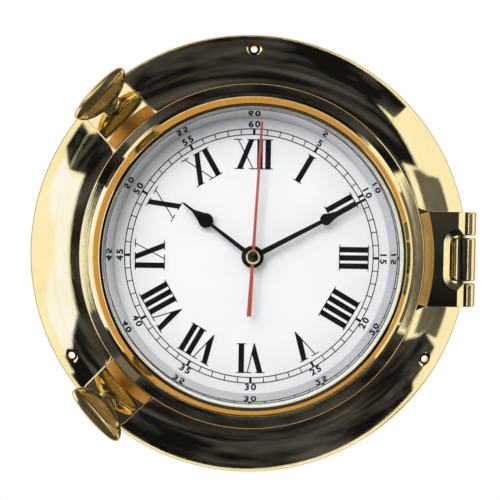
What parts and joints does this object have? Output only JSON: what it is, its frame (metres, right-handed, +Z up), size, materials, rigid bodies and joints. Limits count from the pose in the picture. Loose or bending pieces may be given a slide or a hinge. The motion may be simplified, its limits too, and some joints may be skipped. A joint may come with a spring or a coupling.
{
  "type": "porthole clock",
  "caption": "Round brass bulkhead clock in a porthole case: domed screw-on flange, hinged glazed door with wing screws, white Roman dial, black spade hands and a red seconds hand.",
  "frame": {"origin": "centre of the rear cover's back face, in the wall plane", "axes": "+Z up to 12 o'clock, -Y out of the wall towards the viewer, +X to 3 o'clock, where the hinge is"},
  "size_m": [0.205, 0.0396, 0.205],
  "materials": {
    "polished_brass": "mirror polished",
    "plain_brass": "turned",
    "steel": "plain",
    "mirror_aluminium": "bright mirror finish",
    "dial_white": "satin white with black print",
    "hand_black": "satin black",
    "hand_red": "satin red",
    "black_plastic": "moulded",
    "white_plastic": "moulded",
    "black_rubber": "moulded",
    "pale_silicone": "moulded",
    "lens_glass": "clear polished",
    "cover_coat": "powder coat",
    "board_green": "solder mask",
    "copper": "enamelled wire",
    "cell_jacket": "printed film jacket"
  },
  "bodies": {
    "base": {"base_flange": "polished_brass", "hinge_bracket": "polished_brass", "hinge_pin": "polished_brass", "dial_washer": "plain_brass", "dial_nut": "plain_brass", "rear_cover_screw_1": "steel", "rear_cover_screw_2": "steel", "rear_cover_screw_3": "steel", "hinge_bracket_screw_upper": "steel", "hinge_bracket_screw_lower": "steel", "quartz_crystal": "steel", "motor_stator": "steel", "battery_contact_positive": "steel", "battery_contact_negative": "steel", "reflector_ring": "mirror_aluminium", "dial_plate": "dial_white", "movement_case": "black_plastic", "movement_cover": "black_plastic", "door_seal": "black_rubber", "dial_cushion": "black_rubber", "rear_cover": "cover_coat", "circuit_board": "board_green", "motor_coil": "copper", "battery": "cell_jacket"},
    "door": {"bezel_ring": "polished_brass", "lens": "lens_glass", "lens_gasket": "pale_silicone", "lens_retaining_ring": "plain_brass"},
    "clip_upper": {"wing_screw_clip_upper": "steel"},
    "dog_upper": {"wing_screw_upper": "polished_brass"},
    "clip_lower": {"wing_screw_clip_lower": "steel"},
    "dog_lower": {"wing_screw_lower": "polished_brass"},
    "seconds": {"second_hand": "hand_red", "second_hand_cap": "polished_brass", "second_wheel": "white_plastic"},
    "third": {"third_wheel": "white_plastic"},
    "centre": {"centre_wheel": "white_plastic"},
    "minutes": {"minute_hand": "hand_black", "cannon_pinion": "plain_brass"},
    "transfer": {"minute_wheel": "white_plastic"},
    "hours": {"hour_hand": "hand_black", "hour_wheel": "white_plastic"},
    "knob": {"setting_knob": "black_plastic"}
  },
  "joints": [
    {"name": "door_hinge", "type": "hinge", "parent": "base", "child": "door", "pos_m": [0.0949, -0.01855, 0], "axis": [0, 0, 1], "range_deg": [0, 120]},
    {"name": "upper_screw_travel", "type": "slide", "parent": "door", "child": "clip_upper", "axis": [-0.2602, -0.9272, 0.2695], "range_m": [0, 0.0032]},
    {"name": "upper_screw_turn", "type": "hinge", "parent": "clip_upper", "child": "dog_upper", "pos_m": [-0.06356, -0.02044, 0.06582], "axis": [-0.2602, -0.9272, 0.2695], "range_deg": [0, 1440]},
    {"name": "lower_screw_travel", "type": "slide", "parent": "door", "child": "clip_lower", "axis": [-0.2602, -0.9272, -0.2695], "range_m": [0, 0.0032]},
    {"name": "lower_screw_turn", "type": "hinge", "parent": "clip_lower", "child": "dog_lower", "pos_m": [-0.06356, -0.02044, -0.06582], "axis": [-0.2602, -0.9272, -0.2695], "range_deg": [0, 1440]},
    {"name": "second_spin", "type": "hinge", "parent": "base", "child": "seconds", "pos_m": [0, -0.03, 0], "axis": [0, 1, 0], "continuous": true},
    {"name": "third_spin", "type": "hinge", "parent": "base", "child": "third", "pos_m": [-0.00514, -0.01, 0.00297], "axis": [0, 1, 0], "continuous": true},
    {"name": "centre_spin", "type": "hinge", "parent": "base", "child": "centre", "pos_m": [0, -0.0115, 0], "axis": [0, 1, 0], "continuous": true},
    {"name": "minute_spin", "type": "hinge", "parent": "base", "child": "minutes", "pos_m": [0, -0.028, 0], "axis": [0, 1, 0], "continuous": true},
    {"name": "transfer_spin", "type": "hinge", "parent": "base", "child": "transfer", "pos_m": [0.008, -0.014, 0], "axis": [0, 1, 0], "continuous": true},
    {"name": "hour_spin", "type": "hinge", "parent": "base", "child": "hours", "pos_m": [0, -0.026, 0], "axis": [0, 1, 0], "continuous": true},
    {"name": "knob_spin", "type": "hinge", "parent": "base", "child": "knob", "pos_m": [0.01525, -0.003, 0.00338], "axis": [0, 1, 0], "continuous": true}
  ],
  "couplings": [
    {"joint": "upper_screw_turn", "follows": "upper_screw_travel", "rad_per_m": 7854},
    {"joint": "lower_screw_turn", "follows": "lower_screw_travel", "rad_per_m": 7854},
    {"joint": "third_spin", "follows": "second_spin", "ratio": -0.13333},
    {"joint": "centre_spin", "follows": "second_spin", "ratio": 0.016667},
    {"joint": "transfer_spin", "follows": "minute_spin", "ratio": -0.33333},
    {"joint": "hour_spin", "follows": "minute_spin", "ratio": 0.083333},
    {"joint": "knob_spin", "follows": "minute_spin", "ratio": 1}
  ]
}
